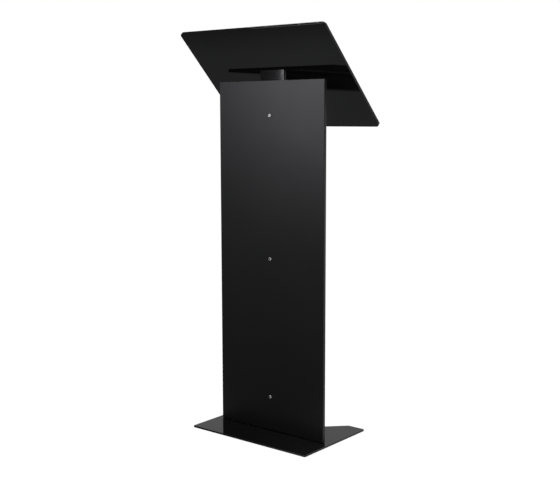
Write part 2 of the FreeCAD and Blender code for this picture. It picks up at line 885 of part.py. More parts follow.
# Touch controller, beside the display controller.
touch_parts_high = 1.1
touch_parts = [
    (9, 9, 0.3, -12, -1),
    (20, 4, 0.3, 10, -6),
    (8, 4, 0.3, -24, 6),
]
touch_board = piece(
    "touch_board", "XY", board_low, head_board_thick,
    rect(62, 20, 1.5, touch_x, touch_slope),
)
pad(
    touch_board, "XY", board_face, touch_parts_high,
    rect_rows(touch_parts, touch_x, touch_slope),
)
on_head(touch_board)

# ------------------------------------------------------------------- carriers

post_back = dims.post_back
psu_mid, player_mid = dims.psu_middle, dims.player_middle
carrier_face = post_back + dims.carrier_sheet


def carrier(name, middle, *holes):
    """A plate over a service window, with its corner holes and others."""
    made = piece(
        name, "XZ", post_back, dims.carrier_sheet,
        rect(dims.carrier_width, dims.carrier_height, dims.carrier_corner, 0, middle),
    )
    cut_through(
        made, "XZ", post_back, dims.carrier_sheet,
        circles(carrier_holes(middle), dims.small_bolt + dims.carrier_fit),
        *holes,
    )


button_z = player_mid - 32
player_fix = [(-16, player_mid + 30), (16, player_mid - 20)]
carrier_button_fit = 0.6
carrier_fix_hole = 1.6
clamp_hole_z = 58  # clamp screws above and below the middle of the power supply
clamp_places = [(0, psu_mid - clamp_hole_z), (0, psu_mid + clamp_hole_z)]
carrier(
    "player_carrier",
    player_mid,
    circle(0, button_z, dims.button_radius + carrier_button_fit),
    circles(player_fix, carrier_fix_hole),
)
carrier("psu_carrier", psu_mid, circles(clamp_places, dims.small_bolt + dims.carrier_fit))

small_socket_deep = 1.4
rear_screws(
    "carrier_screws",
    carrier_holes(psu_mid) + carrier_holes(player_mid),
    seat=carrier_face,
    shank=(dims.small_bolt, 5.5),
    head=(dims.small_head, dims.small_head_high),
    socket=(small_socket, small_socket_deep),
    rounding=1.2,
)

# --------------------------------------------------------------- media player

# A rear shell against the carrier, a front cover, and the board between.
player_wall, player_height = dims.player_wall, dims.player_height
player_split = post_back - 10
player_front = post_back - dims.player_deep
player_inner_back = post_back - player_wall
player_foot = player_mid - player_height / 2
player_board_thick = 1.6
board_rear = post_back - 7.5
board_front = board_rear - player_board_thick
port_y = board_rear + 2  # middle of the sockets at both ends
player_outer = rect(dims.player_width, player_height, 4, 0, player_mid)
player_cavity = rect(
    dims.player_width - player_wall * 2, player_height - player_wall * 2, 2.4, 0, player_mid
)
boss_radius = 3
fix_hole = 1.3
button_fit = 0.1

player_base = piece(
    "player_base", "XZ", player_split, post_back - player_split, player_outer
)
pocket(
    player_base, "XZ", player_split - OVERCUT, player_inner_back - player_split + OVERCUT,
    player_cavity,
)
pad(
    player_base, "XZ", board_rear, player_inner_back - board_rear,
    circles(corners_of(34, 84, 0, player_mid), boss_radius),
)
cut_through(
    player_base, "XZ", player_inner_back, player_wall,
    circle(0, button_z, dims.button_radius + button_fit),
    circles(player_fix, fix_hole),
)
cut_through(
    player_base, "XY", player_foot, player_height,
    rect(13, 4.4, 0.8, 0, port_y),
)

# Front cover with a row of slots in front of the heatsink.
sink_z = player_mid + 12
slot_pitch = 6
slot_places = [(0, sink_z + slot_pitch * i) for i in range(-3, 4)]
player_cover = piece(
    "player_cover", "XZ", player_front, player_split - player_front, player_outer
)
pocket(
    player_cover, "XZ", player_front + player_wall, player_split - player_front,
    player_cavity,
)
cut_through(player_cover, "XZ", player_front, player_wall, rects(slot_places, 30, 2.6, 1.2))

# Board with a socket at each end and four chips on its rear face.
socket_z = 42.5
socket_high = 4.0
chip_high = 1.4
chip_places = [(x, player_mid + z) for z in (-12, 10) for x in (-10, 10)]
player_board = piece(
    "player_board", "XZ", board_front, player_board_thick, rect(44, 94, 2, 0, player_mid)
)
pad(
    player_board, "XZ", board_rear, socket_high,
    rects([(0, player_mid - socket_z), (0, player_mid + socket_z)], 12, 9, 0.5),
)
pad(player_board, "XZ", board_rear, chip_high, rects(chip_places, 12, 14, 0.4))

# Heatsink on the front of the board, its fins towards the front.
sink_long = 40
sink_base = 2
fin_high = 4.8
fin_thick = 1.4
fin_pitch = 5.0
fin_places = [(fin_pitch * i, sink_z) for i in range(-3, 4)]
player_heatsink = piece(
    "player_heatsink", "XZ", board_front - sink_base, sink_base,
    rect(32, sink_long, 0.5, 0, sink_z),
)
pad(
    player_heatsink, "XZ", board_front - sink_base - fin_high, fin_high,
    rects(fin_places, fin_thick, sink_long),
)

# Switch on the rear of the board.
switch_body = 1.0
switch_cap = 0.6
power_switch = piece(
    "power_switch", "XZ", board_rear, switch_body, rect(6, 6, 0.6, 0, button_z)
)
pad(power_switch, "XZ", board_rear + switch_body, switch_cap, circle(0, button_z, 1.7))

# The button's flange stays inside the shell; its stem ends a little more than
# one travel from the switch.
stem_gap = 0.05
stem_low = board_rear + switch_body + switch_cap + stem_gap + dims.button_travel
button_face = post_back + 3
flange_thick = 1.4
flange_gap = 0.1
flange_step = 1.3  # flange radius more than the stem's
power_button = piece(
    "power_button", "XZ", stem_low, button_face - stem_low,
    circle(0, button_z, dims.button_radius),
)
pad(
    power_button, "XZ", player_inner_back - flange_gap - flange_thick, flange_thick,
    circle(0, button_z, dims.button_radius + flange_step),
)
dress(power_button, "Fillet", 0.5, lies_at("Y", button_face))

# --------------------------------------------------------------- power supply

# A deep shell closed by a flat cover against the carrier.
psu_wall = dims.psu_wall
psu_half = dims.psu_height / 2
psu_front = post_back - dims.psu_deep
psu_split = post_back - psu_wall
psu_outer = rect(dims.psu_width, dims.psu_height, 3, 0, psu_mid)
psu_case = piece("psu_case", "XZ", psu_front, psu_split - psu_front, psu_outer)
pocket(
    psu_case, "XZ", psu_front + psu_wall, psu_split - psu_front,
    rect(dims.psu_width - psu_wall * 2, dims.psu_height - psu_wall * 2, 1.5, 0, psu_mid),
)
dress(psu_case, "Fillet", 1, lies_at("Y", psu_front))
piece("psu_cover", "XZ", psu_split, psu_wall, psu_outer)

# Board with a block, three round parts and an upright plate on its front.
psu_board_thick = 1.6
psu_parts_high = 16
psu_board_front = psu_split - 3.6
psu_board = piece(
    "psu_board", "XZ", psu_board_front, psu_board_thick, rect(45, 95, 1, 0, psu_mid)
)
pad(
    psu_board, "XZ", psu_board_front - psu_parts_high, psu_parts_high,
    rect(26, 24, 1.5, 0, psu_mid),
    circle(-11, psu_mid - 28, 8),
    circle(10, psu_mid + 28, 6),
    circle(-8, psu_mid + 28, 6),
    rect(4, 24, 0.5, 14, psu_mid - 28),
)

# Strap around the front of the power supply, with an ear at each end.
clamp_sheet = 1.5
clamp_gap = 0.2
clamp_wide = 20
clamp_inner = psu_half + clamp_gap
clamp_outer = clamp_inner + clamp_sheet
clamp_end = psu_half + 14
strap_back = psu_front - clamp_gap
strap_front = strap_back - clamp_sheet
ear_front = post_back - clamp_sheet
# Y, and Z from the middle of the power supply.
clamp_outline = [
    (post_back, -clamp_end),
    (post_back, -clamp_inner),
    (strap_back, -clamp_inner),
    (strap_back, clamp_inner),
    (post_back, clamp_inner),
    (post_back, clamp_end),
    (ear_front, clamp_end),
    (ear_front, clamp_outer),
    (strap_front, clamp_outer),
    (strap_front, -clamp_outer),
    (ear_front, -clamp_outer),
    (ear_front, -clamp_end),
]
psu_clamp = piece(
    "psu_clamp", "YZ", -clamp_wide / 2, clamp_wide,
    polygon([(y, psu_mid + z) for y, z in clamp_outline]),
)
cut_through(
    psu_clamp, "XZ", ear_front, clamp_sheet,
    circles(clamp_places, dims.small_bolt + dims.close_fit),
)
rear_screws(
    "clamp_screws",
    clamp_places,
    seat=carrier_face,
    shank=(dims.small_bolt, 5),
    head=(dims.small_head, dims.small_head_high),
    socket=(small_socket, small_socket_deep),
)

# Terminal block below the power supply, with two holes in front and two below.
block_x, block_z = -17, psu_mid - 79
block_side = 18
block_deep = 15
block_front = post_back - block_deep
block_foot = block_z - block_side / 2
lead_xs = (block_x - 3.5, block_x + 3.5)
lead_y = post_back - 9
lead_places = [(x, lead_y) for x in lead_xs]
front_hole, front_hole_deep = 2.2, 5
foot_hole, foot_hole_deep = 1.8, 6
terminal_block = piece(
    "terminal_block", "XZ", block_front, block_deep,
    rect(block_side, block_side, 1, block_x, block_z),
)
pocket(
    terminal_block, "XZ", block_front - OVERCUT, front_hole_deep + OVERCUT,
    circles([(x, block_z) for x in lead_xs], front_hole),
)
pocket(
    terminal_block, "XY", block_foot - OVERCUT, foot_hole_deep + OVERCUT,
    circles(lead_places, foot_hole),
)

# Two leads from the top of the block to the power supply.
lead_radius = 1.3
lead_long = 20
piece(
    "mains_leads", "XY", block_z + block_side / 2, lead_long,
    circles(lead_places, lead_radius),
)

doc.recompute()

# --------------------------------------------------------------------- cables


def slope_point(along, level):
    """A point of the head's own plane, at x = 0, in the kiosk's frame."""
    tilt = math.radians(dims.tilt.value)
    return Vector(
        0,
        dims.head_y.value + along * math.cos(tilt) - level * math.sin(tilt),
        dims.head_z.value + along * math.sin(tilt) + level * math.cos(tilt),
    )


def slope_points(rows, along, level):
    """Points from rows of offsets up the slope and off the head's plane."""
    return [slope_point(along + up, level + off) for up, off in rows]


def ribbon(path, thick, wide, x):
    """A flat cable: a constant-thickness strip along a path in a YZ plane."""
    left, right = [], []
    last = len(path) - 1
    for i, point in enumerate(path):
        before = path[max(i - 1, 0)]
        after = path[min(i + 1, last)]
        arriving = (point - before) if i else (after - point)
        leaving = (after - point) if i < last else arriving
        arriving.normalize()
        leaving.normalize()
        side = Vector(0, -arriving.z, arriving.y)
        mitre = side + Vector(0, -leaving.z, leaving.y)
        mitre.normalize()
        reach = thick / 2 / max(mitre.dot(side), 0.5)
        left.append(point + mitre * reach)
        right.append(point - mitre * reach)
    loop = [Vector(x - wide / 2, edge.y, edge.z) for edge in left + right[::-1]]
    face = Part.Face(Part.makePolygon(loop + loop[:1]))
    return face.extrude(Vector(wide, 0, 0))


def arc_points(start, corner, end, steps):
    """Rounds the corner between start and end."""
    points = []
    for i in range(steps + 1):
        t = i / steps
        points.append(start * ((1 - t) ** 2) + corner * (2 * t * (1 - t)) + end * (t * t))
    return points


def round_cable(points, radius):
    curve = Part.BSplineCurve()
    curve.interpolate(points)
    spine = Part.Wire([curve.toShape()])
    start = Part.Circle(points[0], curve.tangent(curve.FirstParameter)[0], radius)
    return spine.makePipeShell([Part.Wire([start.toShape()])], True, True)


def plug(low, high):
    """A plug in line with the media player's sockets, between two heights."""
    wide, thick = 11.6, 3.6
    corner = Vector(-wide / 2, plug_y - thick / 2, low)
    return Part.makeBox(wide, thick, high - low, corner)


def solid_feature(name, shape):
    made = doc.addObject("Part::Feature", name)
    made.Label = name
    made.Shape = shape
    exported.append(made)


board_along = board_slope.value
tray_floor = dims.tray_sheet.value
mid_y = post_mid.value
plug_y = port_y.value
plug_depth = 1.5  # plug inside the player
player_low = player_foot.value
player_top = player_low + dims.player_height.value

# From the controller, under the display, through the slot and down the post.
# Columns: up the slope from the controller's middle, level above the tray's floor.
route = slope_points([(21.2, 2.4), (23.6, 2.2), (25.4, 0.5)], board_along, tray_floor)
route += arc_points(
    slope_point(1, tray_floor + 0.5),
    slope_point(9, tray_floor + 0.5),
    Vector(0, mid_y + 0.4, dims.head_z.value - 12),
    steps=8,
)
route += arc_points(
    Vector(0, mid_y, player_top + 90),
    Vector(0, mid_y, player_top + 55),
    Vector(0, (mid_y + plug_y) / 2, player_top + 40),
    steps=4,
)
route += arc_points(
    Vector(0, plug_y - 1.0, player_top + 32),
    Vector(0, plug_y, player_top + 28),
    Vector(0, plug_y, player_top + 12),
    steps=4,
)
head_flat = ribbon(route, thick=0.5, wide=14, x=0)
head_plug = plug(player_top - plug_depth, player_top + 12)
solid_feature("head_cable", head_flat.fuse(head_plug).removeSplitter())

# Short flat tail from the display module to the controller; columns as above.
lcd_tail = [(31.0, 0.72), (26.0, 0.72), (23.6, 2.2), (21.2, 2.4)]
lcd_path = slope_points(lcd_tail, board_along, tray_floor)
solid_feature("lcd_ribbon", ribbon(lcd_path, thick=0.3, wide=28, x=40))

# Tail of the touch sensor, down to the touch controller.
# Columns: up the slope from the lower end's datum, level from the sensor's back.
touch_tail = [(14, -0.125), (7, -0.125), (4.4, -1.2), (2.1, -2.0)]
touch_path = slope_points(touch_tail, board_along - 14, sensor_low.value)
solid_feature("touch_ribbon", ribbon(touch_path, thick=0.25, wide=18, x=130))

# Round lead from the top of the power supply up to the player's lower socket.
psu_top = (psu_mid + psu_half).value
outlet_x, outlet_y = 16, post_back.value - 12
lead = round_cable(
    [
        Vector(outlet_x, outlet_y, psu_top + 8),
        Vector(outlet_x, outlet_y - 1, psu_top + 30),
        Vector(12, mid_y - 6, psu_top + 95),
        Vector(10, mid_y - 7, psu_top + 170),
        Vector(4, mid_y + 2, player_low - 60),
        Vector(0, plug_y, player_low - 26),
        Vector(0, plug_y, player_low - 10),
    ],
    radius=2.0,
)
collar_radius, collar_long = 3.4, 10
collar_foot = Vector(outlet_x, outlet_y, psu_top)
collar = Part.makeCylinder(collar_radius, collar_long, collar_foot, Vector(0, 0, 1))
dc_plug = plug(player_low - 13, player_low + plug_depth)
solid_feature("dc_cable", lead.fuse([collar, dc_plug]).removeSplitter())

# ----------------------------------------------------------- checks and export

doc.recompute()
faults = []
for obj in doc.Objects:
    if "Invalid" in obj.State or "Error" in obj.State:
        faults.append("%s is %s" % (obj.Name, obj.State))
for cut, before in cuts:
    if cut.Shape.Volume >= before.Shape.Volume - 1e-6:
        faults.append("%s removes nothing" % cut.Name)
if len({obj.Label for obj in exported}) != len(exported):
    faults.append("two sub-parts share a label")
for obj in exported:
    shape = obj.Shape
    if shape.isNull() or not shape.isValid() or not shape.Solids:
        faults.append("%s has no valid shape" % obj.Label)
if faults:
    raise RuntimeError("; ".join(faults))

os.makedirs("parts", exist_ok=True)
for obj in exported:
    obj.Shape.exportStep("parts/%s.step" % obj.Label)
print("%d sub-parts written" % len(exported))
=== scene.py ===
"""A touch-screen kiosk: a head tilted 45 degrees on a post, in a pale studio.

Metres, +Z up. The user stands at -Y and looks at the glass; the rear panel faces +Y.
This script gives them materials, cuts finer screws, and sets the floor, lights and
camera.
"""

import json
import math

import bmesh
import bpy
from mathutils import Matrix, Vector

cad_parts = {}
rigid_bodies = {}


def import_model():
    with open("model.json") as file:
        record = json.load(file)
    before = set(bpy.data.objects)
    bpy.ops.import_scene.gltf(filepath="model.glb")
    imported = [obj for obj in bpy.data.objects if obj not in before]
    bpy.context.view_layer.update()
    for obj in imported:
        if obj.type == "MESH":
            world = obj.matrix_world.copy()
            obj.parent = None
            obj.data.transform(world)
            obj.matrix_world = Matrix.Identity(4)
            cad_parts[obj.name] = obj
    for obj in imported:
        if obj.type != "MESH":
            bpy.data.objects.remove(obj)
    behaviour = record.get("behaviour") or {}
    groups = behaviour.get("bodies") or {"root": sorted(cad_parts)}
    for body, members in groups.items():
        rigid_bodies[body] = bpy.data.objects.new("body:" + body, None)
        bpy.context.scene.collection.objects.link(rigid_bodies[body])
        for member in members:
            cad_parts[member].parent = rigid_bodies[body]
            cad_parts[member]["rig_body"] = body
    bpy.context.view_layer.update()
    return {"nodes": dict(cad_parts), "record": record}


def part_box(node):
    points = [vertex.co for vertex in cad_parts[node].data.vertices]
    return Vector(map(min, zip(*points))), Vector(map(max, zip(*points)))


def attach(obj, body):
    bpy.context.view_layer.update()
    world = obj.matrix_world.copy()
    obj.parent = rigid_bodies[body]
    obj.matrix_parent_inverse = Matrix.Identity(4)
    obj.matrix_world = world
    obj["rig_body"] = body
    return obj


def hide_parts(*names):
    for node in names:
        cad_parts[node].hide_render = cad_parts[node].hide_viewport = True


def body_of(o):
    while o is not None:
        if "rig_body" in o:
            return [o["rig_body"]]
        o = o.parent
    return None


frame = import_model()
nodes = frame["nodes"]
scene = bpy.context.scene


def mm(length):
    return length * 0.001


def extent(node, axis):
    """Lowest and highest place of a node's vertices along an axis."""
    values = [vertex.co.dot(axis) for vertex in nodes[node].data.vertices]
    return min(values), max(values)


# The head's own plane: origin in the middle of its back, ALONG up the slope and
# OUT towards the user.
TILT = math.radians(45)
ALONG = Vector((0, math.cos(TILT), math.sin(TILT)))
OUT = Vector((0, -math.sin(TILT), math.cos(TILT)))
HEAD = ALONG * (sum(extent("head_tray", ALONG)) / 2) + OUT * extent("head_tray", OUT)[0]

# Clear windows on the head: half width, half length along the slope.
WINDOW_MIDDLE = 0.002
WINDOW_SOFT = 0.0001
SENSOR_WINDOW = (0.1915, 0.108)
DISPLAY_WINDOW = (0.191, 0.1075)
DISPLAY_PITCH = 0.0004
# Where the cover glass turns from clear to ground edge, from its middle.
GLASS_EDGE_ACROSS = (0.2521, 0.2529)
GLASS_EDGE_ALONG = (0.1816, 0.1824)
# Circuit boards: height of the bare surface over the board's lowest place.
HEAD_BOARD_TOP = 0.00105
PLAYER_BOARD_TOP = 0.00165

# -------------------------------------------------------------- node helpers


def grey(level):
    return (level, level, level)


def brighter(colour, gain, lift=0.0):
    return tuple(min(channel * gain + lift, 1) for channel in colour)


class Graph:
    """A short way to write the nodes of a material or a world."""

    def __init__(self, owner, output):
        owner.use_nodes = True
        self.tree = owner.node_tree
        self.tree.nodes.clear()
        self.output = self.tree.nodes.new(output)
        self._place = None

    def put(self, socket, value):
        if hasattr(value, "is_output"):
            self.tree.links.new(value, socket)
        elif isinstance(value, tuple) and socket.type == "RGBA" and len(value) == 3:
            socket.default_value = (*value, 1)
        else:
            socket.default_value = value

    def node(self, kind, output=0, props=None, **inputs):
        """Adds a node and gives one output.  Inputs go by name, or by number as i0, i1..."""
        new = self.tree.nodes.new("ShaderNode" + kind)
        for key, value in (props or {}).items():
            setattr(new, key, value)
        for key, value in inputs.items():
            numbered = key[0] == "i" and key[1:].isdigit()
            self.put(new.inputs[int(key[1:]) if numbered else key.replace("_", " ")], value)
        return new.outputs[output]

    @property
    def place(self):
        """Object coordinates."""
        if self._place is None:
            self._place = self.node("TexCoord", "Object")
        return self._place

    def math(self, operation, a, b=0.0):
        return self.node("Math", props={"operation": operation}, i0=a, i1=b, i2=0.0)

    def add(self, a, b):
        return self.math("ADD", a, b)

    def times(self, a, by):
        return self.math("MULTIPLY", a, by)

    def invert(self, value):
        return self.math("SUBTRACT", 1.0, value)

    def above(self, value, limit):
        return self.math("GREATER_THAN", value, limit)

    def repeat(self, value, per_metre):
        """A 0 to 1 ramp, so many times a metre."""
        return self.math("FRACT", self.times(value, by=per_metre))

    def vector(self, operation, a, b, output=0):
        return self.node("VectorMath", output, props={"operation": operation}, i0=a, i1=b)

    def dot(self, a, b):
        return self.vector("DOT_PRODUCT", a, b, output=1)

    def stretch(self, vector, by):
        return self.vector("MULTIPLY", vector, by)

    def split(self, vector):
        """The x, y and z outputs of a vector."""
        return self.node("SeparateXYZ", i0=vector).node.outputs

    def flat(self, x, y):
        return self.node("CombineXYZ", i0=x, i1=y, i2=0.0)

    def noise(self, scale, detail=2.0, rough=0.5, at=None, distort=0.0):
        return self.node(
            "TexNoise",
            Vector=at or self.place,
            Scale=scale,
            Detail=detail,
            Roughness=rough,
            Distortion=distort,
        )

    def voronoi(self, scale, at=None, feature="F1", output="Distance", randomness=1.0):
        return self.node(
            "TexVoronoi",
            output,
            props={"feature": feature},
            Vector=at or self.place,
            Scale=scale,
            Randomness=randomness,
        )

    def remap(self, value, span=(0.3, 0.7), to=(0.0, 1.0), smooth=False):
        """Turns the range 'span' into the range 'to'."""
        kind = "SMOOTHSTEP" if smooth else "LINEAR"
        return self.node(
            "MapRange",
            props={"interpolation_type": kind},
            i0=value,
            i1=span[0],
            i2=span[1],
            i3=to[0],
            i4=to[1],
        )

    def mix(self, mask, base, top, share=None):
        """'top' over 'base' where the mask is 1; 'share' weakens the mask."""
        if share is not None:
            mask = self.times(mask, by=share)
        return self.node("Mix", 2, props={"data_type": "RGBA"}, i0=mask, i6=base, i7=top)

    def mottle(self, noise, colour, gain, span=(0.3, 0.7)):
        """A colour and its brighter self, mixed by a noise."""
        return self.mix(self.remap(noise, span), colour, brighter(colour, gain))

    def bump(self, height, depth, **normal):
        return self.node("Bump", Height=height, Distance=depth, **normal)

    def end(self, shader):
        self.tree.links.new(shader, self.output.inputs[0])


class Surface(Graph):
    """A material with one Principled shader."""

    def __init__(self, name):
        self.material = bpy.data.materials.new(name)
        super().__init__(self.material, "ShaderNodeOutputMaterial")
        self.principled = self.tree.nodes.new("ShaderNodeBsdfPrincipled")
        self.end(self.principled.outputs[0])

    def finish(self, **inputs):
        for key, value in inputs.items():
            self.put(self.principled.inputs[key.replace("_", " ")], value)
        return self.material


def edge_wear(mat, size=0.0006):
    """Bright at sharp corners, where a bevelled normal differs from the true one."""
    bevel = mat.node("Bevel", props={"samples": 4}, Radius=size)
    facing = mat.dot(bevel, mat.node("NewGeometry", "Normal"))
    return mat.remap(facing, span=(0.995, 0.85))


def dust(mat, amount):
    """Sparse fine specks, more of them on faces that look up."""
    speck = mat.remap(mat.voronoi(scale=900.0), span=(0.10, 0.02))
    patch = mat.remap(mat.noise(scale=14.0, detail=4.0), span=(0.45, 0.75), to=(0.1, 1.0))
    upward = mat.split(mat.node("NewGeometry", "Normal"))[2]
    upward = mat.remap(upward, span=(-0.2, 0.9), to=(0.15, 1.0))
    return mat.times(mat.times(speck, patch), mat.times(upward, by=amount))


def head_coords(mat, *directions):
    """Distance across the head, then along each of the directions, from HEAD."""
    centred = mat.vector("SUBTRACT", mat.place, tuple(HEAD))
    across = mat.split(centred)[0]
    return [across] + [mat.dot(centred, tuple(way)) for way in directions]


def rear_coords(mat):
    """Place on an upright board, x and z, then its level, y."""
    return [mat.split(mat.place)[axis] for axis in (0, 2, 1)]


def inside(mat, across, along, window):
    """1 inside a window on the head, 0 outside."""
    from_middle = (
        mat.math("ABSOLUTE", across),
        mat.math("ABSOLUTE", mat.math("SUBTRACT", along, WINDOW_MIDDLE)),
    )
    masks = [
        mat.remap(distance, span=(half - WINDOW_SOFT, half + WINDOW_SOFT), to=(1.0, 0.0))
        for distance, half in zip(from_middle, window)
    ]
    return mat.times(*masks)


# ----------------------------------------------------------------- materials


def gloss_black(name, colour, rough, peel):
    """Deep gloss powder coat: faint orange peel, wiping haze and fine specks."""
    mat = Surface(name)
    haze = mat.noise(scale=9.0, detail=5.0, rough=0.6)
    wipe = mat.noise(scale=60.0, detail=3.0, at=mat.stretch(mat.place, by=(1, 0.12, 0.12)))
    sheen = mat.remap(haze, span=(0.35, 0.7), to=(rough * 0.8, rough * 1.5))
    sheen = mat.add(sheen, mat.remap(wipe, span=(0.5, 0.75), to=(0.0, rough * 0.35)))
    specks = dust(mat, amount=0.5)
    sheen = mat.add(sheen, mat.times(specks, by=0.35))
    base = mat.mottle(haze, colour, gain=1.25)
    base = mat.mix(specks, base, top=grey(0.12), share=0.25)
    base = mat.mix(edge_wear(mat), base, top=(0.03, 0.03, 0.032), share=0.35)
    broad_peel = mat.noise(scale=260.0, detail=1.5, rough=0.4)
    fine_peel = mat.noise(scale=700.0, detail=1.0, rough=0.4)
    height = mat.add(broad_peel, mat.times(fine_peel, by=0.3))
    return mat.finish(
        Base_Color=base, Roughness=sheen, IOR=1.5, Normal=mat.bump(height, depth=peel)
    )


def satin_black(name, colour, rough, grain, ripples=1.0):
    """Fine-texture powder coat: a dense low grain over a slightly uneven sheen."""
    mat = Surface(name)
    fine = mat.noise(scale=2600.0, rough=0.55)
    middle = mat.noise(scale=900.0)
    broad = mat.noise(scale=5.0, detail=4.0, rough=0.55)
    sheen = mat.remap(broad, to=(rough * 0.95, rough * 1.06))
    sheen = mat.add(sheen, mat.remap(fine, to=(-0.03, 0.03)))
    base = mat.mottle(fine, colour, gain=1.5, span=(0.35, 0.65))
    base = mat.mix(dust(mat, amount=0.35), base, top=grey(0.1), share=0.2)
    base = mat.mix(edge_wear(mat), base, top=brighter(colour, gain=3), share=0.4)
    height = mat.add(mat.times(fine, by=0.5), middle)
    ripple = mat.bump(mat.noise(scale=140.0), depth=0.00008 * ripples)
    normal = mat.bump(height, depth=grain, Normal=ripple)
    return mat.finish(Base_Color=base, Roughness=sheen, IOR=1.5, Normal=normal)


def metal(name, colour, rough, grain_axis=(1, 1, 1), tint=None, spangle=0.0):
    """Bare or plated metal with a fine grain; 'spangle' adds coloured zinc cells."""
    mat = Surface(name)
    at = mat.stretch(mat.place, by=grain_axis)
    streak = mat.noise(scale=1400.0, detail=3.0, rough=0.6, at=at)
    broad = mat.noise(scale=40.0, detail=3.0)
    base = mat.mottle(streak, colour, gain=1.18)
    if tint:
        base = mat.mix(mat.remap(broad, span=(0.35, 0.7), to=(0, 0.5)), base, top=tint)
    if spangle:
        cells = mat.voronoi(scale=220.0, output="Color")
        base = mat.mix(spangle, base, top=mat.mix(mask=0.75, base=cells, top=base))
    sheen = mat.remap(streak, span=(0.25, 0.75), to=(rough * 0.8, rough * 1.3))
    sheen = mat.add(sheen, mat.remap(broad, span=(0.4, 0.7), to=(0.0, 0.06)))
    normal = mat.bump(streak, depth=0.000012)
    return mat.finish(Base_Color=base, Metallic=1.0, Roughness=sheen, Normal=normal)


def rubber(name, colour, cells=False):
    """Chalky rubber, or foam when it has cells."""
    mat = Surface(name)
    grain = mat.noise(scale=700.0, detail=3.0, rough=0.6)
    base = mat.mottle(grain, colour, gain=1.9)
    chalk = mat.noise(scale=60.0, detail=4.0)
    chalk = mat.remap(chalk, span=(0.5, 0.8), to=(0.0, 0.25))
    base = mat.mix(chalk, base, top=(0.09, 0.09, 0.088))
    if cells:
        normal = mat.bump(mat.voronoi(scale=1600.0), depth=0.00012)
    else:
        normal = mat.bump(grain, depth=0.00005)
    sheen = mat.remap(grain, to=(0.62, 0.85))
    return mat.finish(Base_Color=base, Roughness=sheen, Normal=normal)


def plastic(name, colour, rough, grain, scale=1700.0):
    """Moulded plastic with a spark-like grain and lighter corners."""
    mat = Surface(name)
    fine = mat.noise(scale=scale)
    cells = mat.voronoi(scale=scale * 0.8)
    base = mat.mottle(mat.noise(scale=20.0, detail=3.0), colour, gain=1.3)
    worn = brighter(colour, gain=2.0, lift=0.02)
    base = mat.mix(edge_wear(mat, size=0.0004), base, top=worn, share=0.3)
    sheen = mat.remap(fine, to=(rough * 0.85, rough * 1.2))
    normal = mat.bump(mat.add(fine, mat.times(cells, by=0.6)), depth=grain)
    return mat.finish(Base_Color=base, Roughness=sheen, Normal=normal)


def cover_glass(name):
    """Clear float glass with a faint green body and slightly frosted edges."""
    mat = Surface(name)
    across, along = head_coords(mat, ALONG)
    rim = mat.math(
        "MAXIMUM",
        mat.remap(mat.math("ABSOLUTE", across), span=GLASS_EDGE_ACROSS),
        mat.remap(mat.math("ABSOLUTE", along), span=GLASS_EDGE_ALONG),
    )
    smear = mat.noise(scale=18.0, detail=5.0, rough=0.65, distort=0.6)
    smear = mat.remap(smear, span=(0.5, 0.78), to=(0.0, 0.05))
    grind = mat.noise(scale=2200.0)
    return mat.finish(
        Base_Color=mat.mix(rim, base=(0.97, 0.985, 0.98), top=(0.55, 0.82, 0.70)),
        Roughness=mat.add(smear, mat.times(rim, mat.remap(grind, to=(0.12, 0.3)))),
        IOR=1.52,
        Transmission_Weight=1.0,
        Normal=mat.bump(mat.times(grind, rim), depth=0.00002),
    )


def printed_film(name):
    """The sensor film: black border, clear window with a faint electrode mesh."""
    mat = Surface(name)
    across, along = head_coords(mat, ALONG)
    window = inside(mat, across, along, SENSOR_WINDOW)
    diamonds = mat.voronoi(
        scale=200.0, at=mat.flat(across, along), feature="DISTANCE_TO_EDGE", randomness=0.0
    )
    line = mat.remap(diamonds, span=(0.01, 0.03), to=(1.0, 0.0))
    grain = mat.noise(scale=1200.0)
    clearness = mat.remap(line, span=(0, 1), to=(0.985, 0.94))
    return mat.finish(
        Base_Color=mat.mix(window, base=(0.0035, 0.0035, 0.004), top=(0.02, 0.022, 0.024)),
        Roughness=mat.remap(grain, to=(0.22, 0.34)),
        Alpha=mat.invert(mat.times(window, clearness)),
        Normal=mat.bump(grain, depth=0.000004),
    )


def display(name):
    """A switched-off liquid crystal cell: fine dark lattice and a black margin."""
    mat = Surface(name)
    across, along = head_coords(mat, ALONG)
    active = inside(mat, across, along, DISPLAY_WINDOW)
    line = mat.math(
        "MAXIMUM",
        mat.above(mat.repeat(across, per_metre=1 / DISPLAY_PITCH), limit=0.82),
        mat.above(mat.repeat(along, per_metre=1 / DISPLAY_PITCH), limit=0.88),
    )
    cloud = mat.remap(mat.noise(scale=6.0, detail=3.0))
    panel = mat.mix(cloud, base=(0.012, 0.0135, 0.017), top=(0.016, 0.0175, 0.021))
    panel = mat.mix(line, panel, top=(0.004, 0.004, 0.005), share=0.5)
    return mat.finish(
        Base_Color=mat.mix(active, base=grey(0.003), top=panel),
        Roughness=0.38,
        Specular_IOR_Level=0.4,
        Normal=mat.bump(mat.noise(scale=3500.0, detail=1.0), depth=0.00001),
    )


